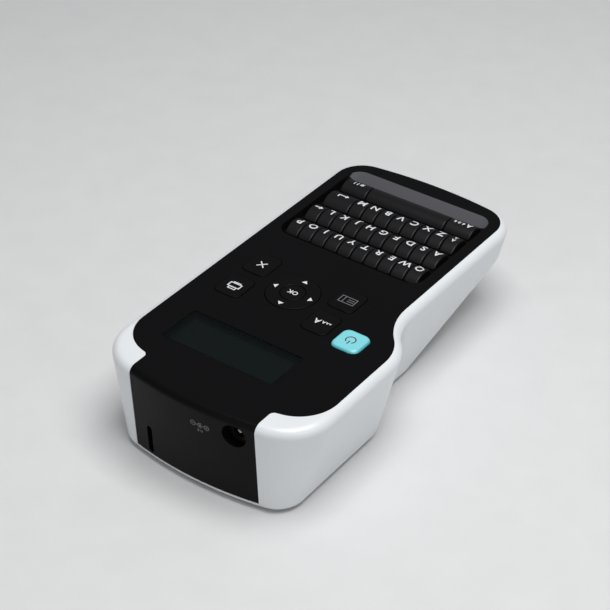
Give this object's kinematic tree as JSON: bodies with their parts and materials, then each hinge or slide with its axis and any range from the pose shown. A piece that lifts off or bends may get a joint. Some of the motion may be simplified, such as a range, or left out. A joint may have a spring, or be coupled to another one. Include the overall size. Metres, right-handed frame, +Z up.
{
  "type": "label maker",
  "caption": "Hand-held label maker: white shell, black face with letter keys, display and blue power button, hinged cassette door underneath, tape drive and cutter inside.",
  "frame": {"origin": "under the middle of the body, on the surface that the feet stand on", "axes": "+X to the device's right, +Y from the keyboard end to the head, +Z up out of the face"},
  "size_m": [0.112, 0.2056, 0.0489],
  "materials": {
    "white_shell": "smooth moulded white plastic, satin gloss",
    "black_face": "fine matt black moulded plastic",
    "key_caps_black": "soft matt black key caps with white legends",
    "button_black": "matt black buttons flush with the face",
    "power_blue": "pale blue gloss plastic",
    "window": "clear flat window",
    "lcd_module": "dark grey green display panel",
    "main_board": "green circuit board",
    "keypad_mat": "grey silicone rubber",
    "battery_pack": "black shrink-wrapped cells",
    "tape_cassette": "dark grey moulded cassette",
    "tape_spool": "wound white label tape",
    "platen_roller": "black rubber roller on a steel shaft",
    "gear_plastic": "natural acetal gears",
    "brass": "machined brass pinion",
    "drive_motor": "plated steel can",
    "print_head": "aluminium heat sink with fins",
    "cutter_blade": "ground steel blade",
    "dc_jack": "black inlet with a metal centre pin",
    "housing_screws": "plated steel screws",
    "rubber_feet": "dark grey rubber feet"
  },
  "bodies": {
    "root": {"lower_housing": "white_shell", "upper_cover": "black_face", "display_window": "window", "lcd_module": "lcd_module", "main_board": "main_board", "keypad_mat": "keypad_mat", "battery_pack": "battery_pack", "tape_cassette": "tape_cassette", "drive_motor": "drive_motor", "print_head": "print_head", "dc_jack": "dc_jack", "housing_screws": "housing_screws", "rubber_feet": "rubber_feet"},
    "door": {"cassette_door": "white_shell"},
    "cutter": {"cutter_button": "white_shell", "cutter_blade": "cutter_blade"},
    "platen": {"platen_roller": "platen_roller", "platen_gear": "gear_plastic"},
    "idler": {"idler_gear": "gear_plastic"},
    "motor_rotor": {"motor_pinion": "brass"},
    "spool": {"tape_spool": "tape_spool"},
    "power_button": {"power_button": "power_blue"},
    "print_button": {"print_button": "button_black"},
    "cancel_button": {"cancel_button": "button_black"},
    "format_button": {"format_button": "button_black"},
    "frame_button": {"frame_button": "button_black"},
    "arrow_ring": {"arrow_ring": "button_black"},
    "ok_button": {"ok_button": "button_black"},
    "key_a": {"key_a": "key_caps_black"},
    "key_accent": {"key_accent": "key_caps_black"},
    "key_b": {"key_b": "key_caps_black"},
    "key_backspace": {"key_backspace": "key_caps_black"},
    "key_c": {"key_c": "key_caps_black"},
    "key_caps": {"key_caps": "key_caps_black"},
    "key_d": {"key_d": "key_caps_black"},
    "key_e": {"key_e": "key_caps_black"},
    "key_enter": {"key_enter": "key_caps_black"},
    "key_f": {"key_f": "key_caps_black"},
    "key_g": {"key_g": "key_caps_black"},
    "key_h": {"key_h": "key_caps_black"},
    "key_i": {"key_i": "key_caps_black"},
    "key_j": {"key_j": "key_caps_black"},
    "key_k": {"key_k": "key_caps_black"},
    "key_l": {"key_l": "key_caps_black"},
    "key_m": {"key_m": "key_caps_black"},
    "key_n": {"key_n": "key_caps_black"},
    "key_o": {"key_o": "key_caps_black"},
    "key_p": {"key_p": "key_caps_black"},
    "key_q": {"key_q": "key_caps_black"},
    "key_r": {"key_r": "key_caps_black"},
    "key_s": {"key_s": "key_caps_black"},
    "key_space": {"key_space": "key_caps_black"},
    "key_symbol": {"key_symbol": "key_caps_black"},
    "key_t": {"key_t": "key_caps_black"},
    "key_u": {"key_u": "key_caps_black"},
    "key_v": {"key_v": "key_caps_black"},
    "key_w": {"key_w": "key_caps_black"},
    "key_x": {"key_x": "key_caps_black"},
    "key_y": {"key_y": "key_caps_black"},
    "key_z": {"key_z": "key_caps_black"}
  },
  "joints": [
    {"name": "door_hinge", "type": "hinge", "parent": "root", "child": "door", "pos_m": [0.0055, 0.0018, 0.003], "axis": [-1, 0, 0], "range_deg": [0, 95]},
    {"name": "cutter_press", "type": "slide", "parent": "root", "child": "cutter", "axis": [-1, 0, 0], "range_m": [0, 0.0045], "stiffness_N_per_m": 400, "springref_m": -0.001},
    {"name": "motor_spin", "type": "hinge", "parent": "root", "child": "motor_rotor", "pos_m": [0.028, 0.039, 0.02], "axis": [0, 0, 1], "continuous": true},
    {"name": "platen_spin", "type": "hinge", "parent": "root", "child": "platen", "pos_m": [0.028, 0.06404, 0.02], "axis": [0, 0, 1], "continuous": true},
    {"name": "idler_spin", "type": "hinge", "parent": "root", "child": "idler", "pos_m": [0.028, 0.04992, 0.02], "axis": [0, 0, 1], "continuous": true},
    {"name": "spool_spin", "type": "hinge", "parent": "root", "child": "spool", "pos_m": [-0.0035, 0.0615, 0.02], "axis": [0, 0, 1], "continuous": true},
    {"name": "power_button_press", "type": "slide", "parent": "root", "child": "power_button", "axis": [0, 0, -1], "range_m": [0, 0.001], "stiffness_N_per_m": 400, "springref_m": -0.0006},
    {"name": "print_button_press", "type": "slide", "parent": "root", "child": "print_button", "axis": [0, 0, -1], "range_m": [0, 0.001], "stiffness_N_per_m": 400, "springref_m": -0.0006},
    {"name": "cancel_button_press", "type": "slide", "parent": "root", "child": "cancel_button", "axis": [0, 0, -1], "range_m": [0, 0.001], "stiffness_N_per_m": 400, "springref_m": -0.0006},
    {"name": "format_button_press", "type": "slide", "parent": "root", "child": "format_button", "axis": [0, 0, -1], "range_m": [0, 0.001], "stiffness_N_per_m": 400, "springref_m": -0.0006},
    {"name": "frame_button_press", "type": "slide", "parent": "root", "child": "frame_button", "axis": [0, 0, -1], "range_m": [0, 0.001], "stiffness_N_per_m": 400, "springref_m": -0.0006},
    {"name": "arrow_ring_press", "type": "slide", "parent": "root", "child": "arrow_ring", "axis": [0, 0, -1], "range_m": [0, 0.001], "stiffness_N_per_m": 400, "springref_m": -0.0006},
    {"name": "ok_button_press", "type": "slide", "parent": "root", "child": "ok_button", "axis": [0, 0, -1], "range_m": [0, 0.001], "stiffness_N_per_m": 400, "springref_m": -0.0006},
    {"name": "key_a_press", "type": "slide", "parent": "root", "child": "key_a", "axis": [0, 0, -1], "range_m": [0, 0.001], "stiffness_N_per_m": 400, "springref_m": -0.0006},
    {"name": "key_accent_press", "type": "slide", "parent": "root", "child": "key_accent", "axis": [0, 0, -1], "range_m": [0, 0.001], "stiffness_N_per_m": 400, "springref_m": -0.0006},
    {"name": "key_b_press", "type": "slide", "parent": "root", "child": "key_b", "axis": [0, 0, -1], "range_m": [0, 0.001], "stiffness_N_per_m": 400, "springref_m": -0.0006},
    {"name": "key_backspace_press", "type": "slide", "parent": "root", "child": "key_backspace", "axis": [0, 0, -1], "range_m": [0, 0.001], "stiffness_N_per_m": 400, "springref_m": -0.0006},
    {"name": "key_c_press", "type": "slide", "parent": "root", "child": "key_c", "axis": [0, 0, -1], "range_m": [0, 0.001], "stiffness_N_per_m": 400, "springref_m": -0.0006},
    {"name": "key_caps_press", "type": "slide", "parent": "root", "child": "key_caps", "axis": [0, 0, -1], "range_m": [0, 0.001], "stiffness_N_per_m": 400, "springref_m": -0.0006},
    {"name": "key_d_press", "type": "slide", "parent": "root", "child": "key_d", "axis": [0, 0, -1], "range_m": [0, 0.001], "stiffness_N_per_m": 400, "springref_m": -0.0006},
    {"name": "key_e_press", "type": "slide", "parent": "root", "child": "key_e", "axis": [0, 0, -1], "range_m": [0, 0.001], "stiffness_N_per_m": 400, "springref_m": -0.0006},
    {"name": "key_enter_press", "type": "slide", "parent": "root", "child": "key_enter", "axis": [0, 0, -1], "range_m": [0, 0.001], "stiffness_N_per_m": 400, "springref_m": -0.0006},
    {"name": "key_f_press", "type": "slide", "parent": "root", "child": "key_f", "axis": [0, 0, -1], "range_m": [0, 0.001], "stiffness_N_per_m": 400, "springref_m": -0.0006},
    {"name": "key_g_press", "type": "slide", "parent": "root", "child": "key_g", "axis": [0, 0, -1], "range_m": [0, 0.001], "stiffness_N_per_m": 400, "springref_m": -0.0006},
    {"name": "key_h_press", "type": "slide", "parent": "root", "child": "key_h", "axis": [0, 0, -1], "range_m": [0, 0.001], "stiffness_N_per_m": 400, "springref_m": -0.0006},
    {"name": "key_i_press", "type": "slide", "parent": "root", "child": "key_i", "axis": [0, 0, -1], "range_m": [0, 0.001], "stiffness_N_per_m": 400, "springref_m": -0.0006},
    {"name": "key_j_press", "type": "slide", "parent": "root", "child": "key_j", "axis": [0, 0, -1], "range_m": [0, 0.001], "stiffness_N_per_m": 400, "springref_m": -0.0006},
    {"name": "key_k_press", "type": "slide", "parent": "root", "child": "key_k", "axis": [0, 0, -1], "range_m": [0, 0.001], "stiffness_N_per_m": 400, "springref_m": -0.0006},
    {"name": "key_l_press", "type": "slide", "parent": "root", "child": "key_l", "axis": [0, 0, -1], "range_m": [0, 0.001], "stiffness_N_per_m": 400, "springref_m": -0.0006},
    {"name": "key_m_press", "type": "slide", "parent": "root", "child": "key_m", "axis": [0, 0, -1], "range_m": [0, 0.001], "stiffness_N_per_m": 400, "springref_m": -0.0006},
    {"name": "key_n_press", "type": "slide", "parent": "root", "child": "key_n", "axis": [0, 0, -1], "range_m": [0, 0.001], "stiffness_N_per_m": 400, "springref_m": -0.0006},
    {"name": "key_o_press", "type": "slide", "parent": "root", "child": "key_o", "axis": [0, 0, -1], "range_m": [0, 0.001], "stiffness_N_per_m": 400, "springref_m": -0.0006},
    {"name": "key_p_press", "type": "slide", "parent": "root", "child": "key_p", "axis": [0, 0, -1], "range_m": [0, 0.001], "stiffness_N_per_m": 400, "springref_m": -0.0006},
    {"name": "key_q_press", "type": "slide", "parent": "root", "child": "key_q", "axis": [0, 0, -1], "range_m": [0, 0.001], "stiffness_N_per_m": 400, "springref_m": -0.0006},
    {"name": "key_r_press", "type": "slide", "parent": "root", "child": "key_r", "axis": [0, 0, -1], "range_m": [0, 0.001], "stiffness_N_per_m": 400, "springref_m": -0.0006},
    {"name": "key_s_press", "type": "slide", "parent": "root", "child": "key_s", "axis": [0, 0, -1], "range_m": [0, 0.001], "stiffness_N_per_m": 400, "springref_m": -0.0006},
    {"name": "key_space_press", "type": "slide", "parent": "root", "child": "key_space", "axis": [0, 0, -1], "range_m": [0, 0.001], "stiffness_N_per_m": 400, "springref_m": -0.0006},
    {"name": "key_symbol_press", "type": "slide", "parent": "root", "child": "key_symbol", "axis": [0, 0, -1], "range_m": [0, 0.001], "stiffness_N_per_m": 400, "springref_m": -0.0006},
    {"name": "key_t_press", "type": "slide", "parent": "root", "child": "key_t", "axis": [0, 0, -1], "range_m": [0, 0.001], "stiffness_N_per_m": 400, "springref_m": -0.0006},
    {"name": "key_u_press", "type": "slide", "parent": "root", "child": "key_u", "axis": [0, 0, -1], "range_m": [0, 0.001], "stiffness_N_per_m": 400, "springref_m": -0.0006},
    {"name": "key_v_press", "type": "slide", "parent": "root", "child": "key_v", "axis": [0, 0, -1], "range_m": [0, 0.001], "stiffness_N_per_m": 400, "springref_m": -0.0006},
    {"name": "key_w_press", "type": "slide", "parent": "root", "child": "key_w", "axis": [0, 0, -1], "range_m": [0, 0.001], "stiffness_N_per_m": 400, "springref_m": -0.0006},
    {"name": "key_x_press", "type": "slide", "parent": "root", "child": "key_x", "axis": [0, 0, -1], "range_m": [0, 0.001], "stiffness_N_per_m": 400, "springref_m": -0.0006},
    {"name": "key_y_press", "type": "slide", "parent": "root", "child": "key_y", "axis": [0, 0, -1], "range_m": [0, 0.001], "stiffness_N_per_m": 400, "springref_m": -0.0006},
    {"name": "key_z_press", "type": "slide", "parent": "root", "child": "key_z", "axis": [0, 0, -1], "range_m": [0, 0.001], "stiffness_N_per_m": 400, "springref_m": -0.0006}
  ],
  "couplings": [
    {"joint": "idler_spin", "follows": "motor_spin", "ratio": -0.42105},
    {"joint": "platen_spin", "follows": "motor_spin", "ratio": 0.5},
    {"joint": "spool_spin", "follows": "motor_spin", "ratio": -0.11765}
  ]
}
